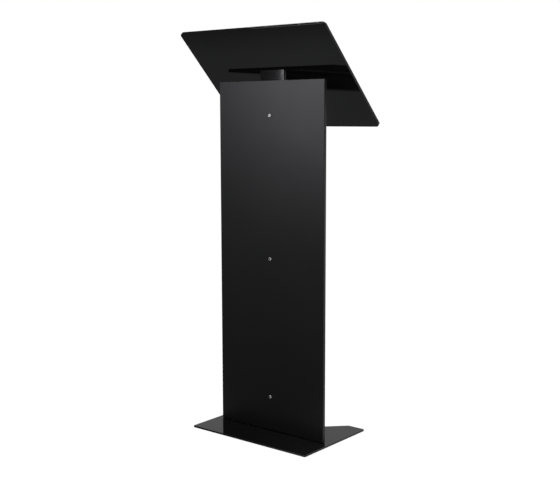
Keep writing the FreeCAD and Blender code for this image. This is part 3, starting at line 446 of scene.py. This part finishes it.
def circuit(name, coords, top):
    """Green solder mask with tracks and pads up to level 'top', dark parts above it.

    'coords' gives the two directions in the board's plane and the level across it.
    """
    mat = Surface(name)
    first, second, level = coords(mat)
    plane = mat.flat(first, second)
    # Tracks run both ways; the first set wanders a little.
    sway = mat.noise(scale=30.0, detail=0.0, at=mat.stretch(plane, by=(0.02, 1, 1)))
    swayed = mat.add(first, mat.times(sway, by=0.004))
    tracks = [
        mat.above(mat.repeat(swayed, per_metre=620.0), limit=0.62),
        mat.above(mat.repeat(second, per_metre=540.0), limit=0.62),
    ]
    pick = mat.above(mat.voronoi(scale=70.0, at=plane), limit=0.42)
    track = mat.node("RGBToBW", i0=mat.mix(pick, *tracks))
    via = mat.remap(mat.voronoi(scale=260.0, at=plane), span=(0.12, 0.16), to=(1.0, 0.0))
    board = mat.mix(track, base=(0.008, 0.075, 0.03), top=(0.016, 0.15, 0.055), share=0.8)
    board = mat.mix(via, board, top=(0.75, 0.6, 0.28))
    is_part = mat.above(level, limit=top)
    grain = mat.noise(scale=1500.0)
    part = mat.mottle(grain, colour=(0.012, 0.012, 0.013), gain=2.2)
    height = mat.add(mat.times(track, by=0.6), mat.times(grain, by=0.2))
    return mat.finish(
        Base_Color=mat.mix(is_part, board, part),
        Roughness=mat.mix(is_part, base=grey(0.28), top=grey(0.5)),
        Metallic=mat.times(via, mat.invert(is_part)),
        Normal=mat.bump(height, depth=0.00004),
    )


def film_strip(name):
    """Amber flat cable with copper tracks showing through."""
    mat = Surface(name)
    across = mat.split(mat.place)[0]
    copper = mat.above(mat.repeat(across, per_metre=1000.0), limit=0.5)
    return mat.finish(
        Base_Color=mat.mix(copper, base=(0.33, 0.13, 0.02), top=(0.62, 0.27, 0.07)),
        Roughness=mat.remap(mat.noise(scale=300.0), to=(0.18, 0.3)),
        Coat_Weight=0.5,
        Normal=mat.bump(copper, depth=0.00003),
    )


def sheath(name, colour):
    """Extruded cable jacket, slightly waxy."""
    mat = Surface(name)
    grain = mat.noise(scale=900.0)
    return mat.finish(
        Base_Color=mat.mottle(grain, colour, gain=1.6),
        Roughness=mat.remap(mat.noise(scale=90.0), to=(0.32, 0.5)),
        Normal=mat.bump(grain, depth=0.00002),
    )


def two_leads(name, middle):
    """Blue insulation below x = middle, brown above it."""
    mat = Surface(name)
    side = mat.above(mat.split(mat.place)[0], limit=middle)
    grain = mat.noise(scale=900.0)
    blue = mat.mix(mat.remap(grain), base=(0.015, 0.05, 0.28), top=(0.03, 0.08, 0.36))
    brown = mat.mix(mat.remap(grain), base=(0.12, 0.045, 0.018), top=(0.16, 0.065, 0.03))
    return mat.finish(
        Base_Color=mat.mix(side, blue, brown),
        Roughness=mat.remap(grain, to=(0.3, 0.42)),
        Normal=mat.bump(grain, depth=0.00002),
    )


lead_low, lead_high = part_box("mains_leads")

# Material slot: (function, its values).
FINISHES = {
    "gloss_black_paint": (
        gloss_black,
        dict(colour=(0.0040, 0.0040, 0.0043), rough=0.035, peel=0.0000045),
    ),
    "satin_black_paint": (
        satin_black,
        dict(colour=(0.0036, 0.0036, 0.0038), rough=0.42, grain=0.00003),
    ),
    "post_black_paint": (
        satin_black,
        dict(colour=(0.0055, 0.0055, 0.0058), rough=0.07, grain=0.000006, ripples=0.3),
    ),
    "stainless_steel": (metal, dict(colour=(0.62, 0.615, 0.605), rough=0.38)),
    "zinc_steel": (
        metal,
        dict(colour=(0.55, 0.57, 0.60), rough=0.26, tint=(0.55, 0.56, 0.44)),
    ),
    "zinc_sheet": (metal, dict(colour=(0.46, 0.48, 0.50), rough=0.34, spangle=0.35)),
    "spacer_aluminium": (metal, dict(colour=grey(0.66), rough=0.3, grain_axis=(0.2, 3, 0.2))),
    "black_rubber": (rubber, dict(colour=grey(0.012))),
    "black_foam": (rubber, dict(colour=grey(0.018), cells=True)),
    "white_nylon": (plastic, dict(colour=(0.62, 0.60, 0.54), rough=0.42, grain=0.00001)),
    "frame_plastic": (plastic, dict(colour=grey(0.012), rough=0.45, grain=0.00002)),
    "cover_glass": (cover_glass, {}),
    "sensor_film": (printed_film, {}),
    "display_cell": (display, {}),
    "backlight_metal": (metal, dict(colour=grey(0.52), rough=0.3, grain_axis=(0.1, 1, 1))),
    "flex_film": (film_strip, {}),
    "cable_black": (sheath, dict(colour=grey(0.012))),
    "player_plastic": (plastic, dict(colour=(0.016, 0.016, 0.018), rough=0.5, grain=0.00003)),
    "heatsink_aluminium": (
        metal,
        dict(colour=(0.5, 0.51, 0.52), rough=0.38, grain_axis=(1, 1, 0.1)),
    ),
    "switch_plastic": (plastic, dict(colour=grey(0.03), rough=0.4, grain=0.00001)),
    "button_plastic": (plastic, dict(colour=(0.42, 0.43, 0.45), rough=0.22, grain=0.000006)),
    "psu_plastic": (
        plastic,
        dict(colour=(0.018, 0.018, 0.019), rough=0.48, grain=0.00004, scale=1100.0),
    ),
    "terminal_plastic": (plastic, dict(colour=(0.62, 0.62, 0.58), rough=0.4, grain=0.00001)),
    "lead_insulation": (two_leads, dict(middle=(lead_low.x + lead_high.x) / 2)),
}
finishes = {name: make(name, **values) for name, (make, values) in FINISHES.items()}

head_board = circuit(
    "circuit_board_head",
    coords=lambda mat: head_coords(mat, ALONG, OUT),
    top=extent("display_board", OUT)[0] - HEAD.dot(OUT) + HEAD_BOARD_TOP,
)
player_circuit = circuit(
    "circuit_board_player",
    coords=rear_coords,
    top=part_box("player_board")[0].y + PLAYER_BOARD_TOP,
)
# A level beyond the kiosk, so this board is all solder mask.
psu_circuit = circuit("circuit_board_psu", coords=rear_coords, top=1.0)
board_of = {
    "display_board": head_board,
    "touch_board": head_board,
    "player_board": player_circuit,
    "psu_board": psu_circuit,
}

slot_of = {part["node"]: part["material_slot"] for part in frame["record"]["subparts"]}
for name, obj in nodes.items():
    finish = board_of.get(name) or finishes[slot_of[name]]
    for slot in obj.material_slots:
        slot.material = finish

# -------------------------------------------------------------- finer screws

# All these screws go in from behind: heads towards +Y, shanks towards -Y.
REARWARD = (0, 1, 0)
FORWARD = (0, -1, 0)
UPWARD = (0, 0, 1)
THREAD_ROOT = 0.82  # root radius as a share of the thread radius
PANEL_SCREW = dict(across=mm(4.0), deep=mm(2.0), major=mm(2.98), pitch=mm(1.0))
CARRIER_SCREW = dict(major=mm(1.98), pitch=mm(0.7))
# Turn of the first carrier screw's cross, and the step to each next one, in radians.
CROSS_TURN, CROSS_STEP = 0.35, 1.31


def add_piece(name, mesh, finish, body, crease=32):
    """A finished piece: smooth, but sharp where it turns more than 'crease' degrees."""
    bmesh.ops.remove_doubles(mesh, verts=mesh.verts, dist=1e-7)
    bmesh.ops.recalc_face_normals(mesh, faces=mesh.faces)
    data = bpy.data.meshes.new(name)
    mesh.to_mesh(data)
    mesh.free()
    data.polygons.foreach_set("use_smooth", [True] * len(data.polygons))
    data.set_sharp_from_angle(angle=math.radians(crease))
    obj = bpy.data.objects.new(name, data)
    scene.collection.objects.link(obj)
    data.materials.append(finishes[finish])
    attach(obj, body)
    return obj


def axes(axis, start):
    """The axis and two directions across it, the first as near 'start' as it can be."""
    axis = Vector(axis).normalized()
    first = (Vector(start) - axis * Vector(start).dot(axis)).normalized()
    return axis, first, axis.cross(first)


def outline(mesh, origin, directions, height, radius, turns):
    """One closed loop of vertices.  The radius is a number or a function of the angle."""
    axis, first, second = directions
    loop = []
    for k in range(turns):
        angle = 2 * math.pi * k / turns
        reach = radius(angle) if callable(radius) else radius
        spoke = first * math.cos(angle) + second * math.sin(angle)
        loop.append(mesh.verts.new(Vector(origin) + axis * height + spoke * reach))
    return loop


def skin(mesh, loops):
    """Joins each loop to the next with faces."""
    for lower, upper in zip(loops, loops[1:]):
        for k in range(len(lower)):
            after = (k + 1) % len(lower)
            mesh.faces.new((lower[k], lower[after], upper[after], upper[k]))


def cap(mesh, loop, centre):
    """Closes a loop with a fan."""
    middle = mesh.verts.new(centre)
    for k in range(len(loop)):
        mesh.faces.new((loop[k], loop[(k + 1) % len(loop)], middle))


def hexagon(across, ease=1.0):
    """Radius by angle of a hexagon, 'across' its flats, 'ease' times its size."""

    def radius(angle):
        from_flat = (angle + math.pi / 6) % (math.pi / 3) - math.pi / 6
        return across / 2 / math.cos(from_flat) * ease

    return radius


def thread(mesh, seat, major, pitch, length, tip, turns=28, steps=7):
    """A screw thread from the seat forward, one helical skin with a chamfered tip."""
    directions = axes(FORWARD, UPWARD)
    minor = major * THREAD_ROOT
    count = int(round(length / pitch * steps))

    def radius_at(height):
        largest = major - max(0.0, height - (length - tip)) * 0.9

        def radius(angle):
            phase = (height / pitch + angle / (2 * math.pi)) % 1.0
            crest = min(1.0, max(0.0, abs(phase * 2 - 1) * 1.3 - 0.15))
            return min(minor + (major - minor) * crest, largest)

        return radius

    loops = []
    for i in range(count + 1):
        height = length * i / count
        loops.append(outline(mesh, seat, directions, height, radius_at(height), turns))
    skin(mesh, loops)
    cap(mesh, loops[-1], Vector(seat) + directions[0] * length)


def button_screw(mesh, seat, radius, high, length, across, deep, major, pitch):
    """Domed hex socket screw; the seat is the point under the head."""
    directions = axes(REARWARD, UPWARD)
    flat = across * 0.78
    # (height, radius) up the side and over the dome, then down into the socket.
    levels = [(0.0, radius * 0.985), (high * 0.05, radius), (high * 0.16, radius)]
    for i in range(1, 11):
        angle = i / 10 * math.pi / 2
        rise = high * (0.16 + 0.84 * math.sin(angle))
        levels.append((rise, flat + (radius - flat) * math.cos(angle) ** 0.9))
    levels += [
        (high, hexagon(across, ease=1.13)),
        (high - across * 0.05, hexagon(across, ease=1.02)),
        (high - across * 0.09, hexagon(across)),
        (high - deep, hexagon(across, ease=0.995)),
        (high - deep - mm(0.1), hexagon(across, ease=0.9)),
        (high - deep - across * 0.2, mm(0.1)),
    ]
    loops = [outline(mesh, seat, directions, *level, turns=96) for level in levels]
    skin(mesh, loops)
    for end in (0, -1):
        cap(mesh, loops[end], Vector(seat) + directions[0] * levels[end][0])
    thread(mesh, seat, major, pitch, length, tip=major * 0.35)


def pan_screw(mesh, seat, radius, high, length, major, pitch, twist):
    """Pan head with a cross recess pressed into the dome, turned by 'twist'."""
    directions = axes(REARWARD, (math.sin(twist), 0.0, math.cos(twist)))
    axis, first, second = directions
    turns, rounds = 64, 26
    arm_long, arm_wide = radius * 0.62, radius * 0.15
    top = []
    for i in range(rounds + 1):
        reach = radius * (1 - i / rounds) ** 0.9
        share = reach / radius
        loop = []
        for k in range(turns):
            angle = 2 * math.pi * k / turns
            x, y = reach * math.cos(angle), reach * math.sin(angle)
            height = high * (0.42 + 0.58 * math.sqrt(max(0.0, 1 - share**2.6)))
            outside = min(
                max(abs(x) - arm_long, (abs(y) - arm_wide) * 1.4),
                max(abs(y) - arm_long, (abs(x) - arm_wide) * 1.4),
            )
            cut = max(0.0, min(1.0, 0.5 - outside / (radius * 0.10)))
            height -= cut * high * (0.62 - 0.34 * share)
            point = Vector(seat) + axis * height + first * x + second * y
            loop.append(mesh.verts.new(point))
        top.append(loop)
    side = [
        outline(mesh, seat, directions, *level, turns)
        for level in ((0.0, radius * 0.97), (high * 0.06, radius))
    ]
    skin(mesh, side + top)
    cap(mesh, side[0], Vector(seat))
    if length > 0:
        thread(mesh, seat, major, pitch, length, tip=major * 0.4, turns=20, steps=6)


def islands(node):
    """Vertex places of each separate solid in a node."""
    mesh = bmesh.new()
    mesh.from_mesh(nodes[node].data)
    bmesh.ops.remove_doubles(mesh, verts=mesh.verts, dist=1e-6)
    seen, found = set(), []
    for vertex in mesh.verts:
        if vertex in seen:
            continue
        stack, points = [vertex], []
        seen.add(vertex)
        while stack:
            here = stack.pop()
            points.append(here.co.copy())
            for edge in here.link_edges:
                other = edge.other_vert(here)
                if other not in seen:
                    seen.add(other)
                    stack.append(other)
        found.append(points)
    mesh.free()
    return found


def screws(node):
    """Seat, head radius, head height and shank length of each screw in a node."""
    for points in islands(node):
        low = Vector([min(point[k] for point in points) for k in range(3)])
        high = Vector([max(point[k] for point in points) for k in range(3)])
        middle = (low + high) / 2
        radius = (high.x - low.x) / 2
        # Only the head reaches this far out, so its lowest point there is the seat.
        seat_y = min(
            point.y
            for point in points
            if math.hypot(point.x - middle.x, point.z - middle.z) > radius * 0.8
        )
        yield (middle.x, seat_y, middle.z), radius, high.y - seat_y, seat_y - low.y


panel_body = body_of(nodes["rear_panel"])
stand_body = body_of(nodes["post"])
# The bodies may come as collections; then the first entry is the one to ride.
if not isinstance(panel_body, str):
    panel_body, stand_body = list(panel_body)[0], list(stand_body)[0]

mesh = bmesh.new()
for screw in screws("panel_screws"):
    button_screw(mesh, *screw, **PANEL_SCREW)
fine_panel_screws = add_piece("panel_screws_fine", mesh, "stainless_steel", panel_body)
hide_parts("panel_screws")

mesh = bmesh.new()
for i, screw in enumerate(screws("carrier_screws")):
    pan_screw(mesh, *screw, **CARRIER_SCREW, twist=CROSS_TURN + i * CROSS_STEP)
fine_carrier_screws = add_piece(
    "carrier_screws_fine", mesh, "zinc_steel", stand_body, crease=40
)
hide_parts("carrier_screws")

# -------------------------------------------------------------------- studio


def floor_material():
    """Pale to the camera with a soft shadow, a quieter grey in reflections."""
    material = bpy.data.materials.new("studio_floor")
    mat = Graph(material, "ShaderNodeOutputMaterial")
    x, y, _ = mat.split(mat.place)

    # Towards the user's side, with steps across x and a darker foot.
    base = mat.remap(y, span=(0.14, 0.40), to=(0.2, 0.0), smooth=True)
    aside = mat.remap(x, span=(0.62, 1.15), to=(1.17, 0.87))
    aside = mat.times(aside, mat.remap(x, span=(0.45, 0.62), to=(0.92, 1.0)))
    base = mat.times(base, aside)
    foot = mat.times(
        mat.remap(x, span=(0.3, 0.45), to=(1.0, 0.0)), mat.remap(y, span=(0.03, 0.14))
    )
    base = mat.times(base, mat.invert(mat.times(foot, by=0.3)))
    # Behind the kiosk.
    base = mat.add(base, mat.remap(y, span=(0.2, 0.75), to=(0.0, 0.13), smooth=True))
    # A band on the -X side.
    band = mat.remap(x, span=(0.05, -0.2), to=(0.0, 0.36), smooth=True)
    band = mat.times(band, mat.remap(x, span=(-0.6, -0.35), smooth=True))
    # Far from the middle, on the user's side.
    front = mat.remap(y, span=(0.3, 0.0), smooth=True)
    far = mat.node("VectorMath", 1, props={"operation": "LENGTH"}, i0=mat.place)
    far = mat.remap(far, span=(1.6, 4.5), to=(0.0, 0.24), smooth=True)
    far = mat.times(far, front)
    # Well in front of the kiosk.
    ahead = mat.remap(y, span=(-0.4, -1.1), to=(0.0, 0.5), smooth=True)
    level = mat.add(mat.add(base, band), mat.add(far, ahead))

    seen = mat.node(
        "AddShader",
        i0=mat.node("BsdfDiffuse", Color=grey(0.2)),
        i1=mat.node("Emission", Strength=0.96),
    )
    reflected = mat.node("Emission", Color=(0.98, 0.99, 1.0), Strength=level)
    is_camera = mat.node("LightPath", "Is Camera Ray")
    mat.end(mat.node("MixShader", i0=is_camera, i1=reflected, i2=seen))
    return material


def studio_world():
    """White to the camera; otherwise bright in front and overhead, dim behind."""
    world = bpy.data.worlds.new("studio")
    scene.world = world
    sky = Graph(world, "ShaderNodeOutputWorld")
    _, y, z = sky.split(sky.node("TexCoord", "Generated"))
    front = sky.remap(y, span=(-0.55, -0.05), to=(0.42, 0.07), smooth=True)
    overhead = sky.remap(z, span=(0.74, 1.0), to=(0.0, 0.6), smooth=True)
    level = sky.node("Math", props={"operation": "MAXIMUM"}, i0=front, i1=overhead)
    lighting = sky.node("Background", Color=(0.985, 0.99, 1.0), Strength=level)
    seen = sky.node("Background", Color=grey(1), Strength=1.02)
    is_camera = sky.node("LightPath", "Is Camera Ray")
    sky.end(sky.node("MixShader", i0=is_camera, i1=lighting, i2=seen))


def aim(obj, direction):
    obj.rotation_mode = "QUATERNION"
    obj.rotation_quaternion = Vector(direction).to_track_quat("-Z", "Y")


def softbox(name, location, target, size, power):
    """A rectangular light (width, height) that the camera doesn't see."""
    data = bpy.data.lights.new(name, "AREA")
    data.shape = "RECTANGLE"
    data.size, data.size_y = size
    data.energy = power
    obj = bpy.data.objects.new(name, data)
    scene.collection.objects.link(obj)
    obj.location = location
    aim(obj, Vector(target) - Vector(location))
    obj.visible_camera = False
    return obj


bpy.ops.mesh.primitive_plane_add(size=60, location=(0, 0, -0.0002))
floor = bpy.context.object
floor.name = "studio_floor"
floor.data.materials.append(floor_material())

studio_world()

key = softbox(
    "key_behind",
    location=(0.60, 1.311, 1.264),
    target=(0, 0, 1.0),
    size=(0.65, 0.8),
    power=9.6,
)
key.data.color = (0.965, 0.965, 1.02)
rim = softbox(
    "rim_side", location=(-2.2, 0.1, 2.0), target=(-0.2, 0, 1.0), size=(0.5, 2.2), power=9
)
# Seen from the side, the head's mirror-flat back would show this light as a hole.
unlit = bpy.data.collections.new("not_lit_by_rim")
unlit.objects.link(nodes["head_tray"])
unlit.collection_objects[0].light_linking.link_state = "EXCLUDE"
rim.light_linking.receiver_collection = unlit
softbox(
    "fill_front", location=(-0.1, -2.4, 2.2), target=(0, 0, 0.6), size=(0.9, 1.4), power=7
)

# -------------------------------------------------------------------- camera

# Behind the kiosk on the -X side, looking towards -Y and +X, slightly down.
CAMERA_PLACE = (-1.7086, 2.0991, 0.8948)
YAW = math.radians(38.472)
PITCH = math.radians(7.661)
SENSOR_WIDTH = 36.0  # millimetres, as is the lens
LENS = 61.8698571
LENS_SHIFT = (-0.0164642857, 0.0161428571)  # shares of the sensor width

cam_data = bpy.data.cameras.new("camera")
camera = bpy.data.objects.new("camera", cam_data)
scene.collection.objects.link(camera)
scene.camera = camera
cam_data.sensor_width = SENSOR_WIDTH
cam_data.lens = LENS
cam_data.shift_x, cam_data.shift_y = LENS_SHIFT
cam_data.clip_start, cam_data.clip_end = 0.05, 200
camera.location = CAMERA_PLACE
look = (
    math.sin(YAW) * math.cos(PITCH),
    -math.cos(YAW) * math.cos(PITCH),
    -math.sin(PITCH),
)
aim(camera, look)

scene.view_settings.view_transform = "Standard"
scene.view_settings.look = "None"
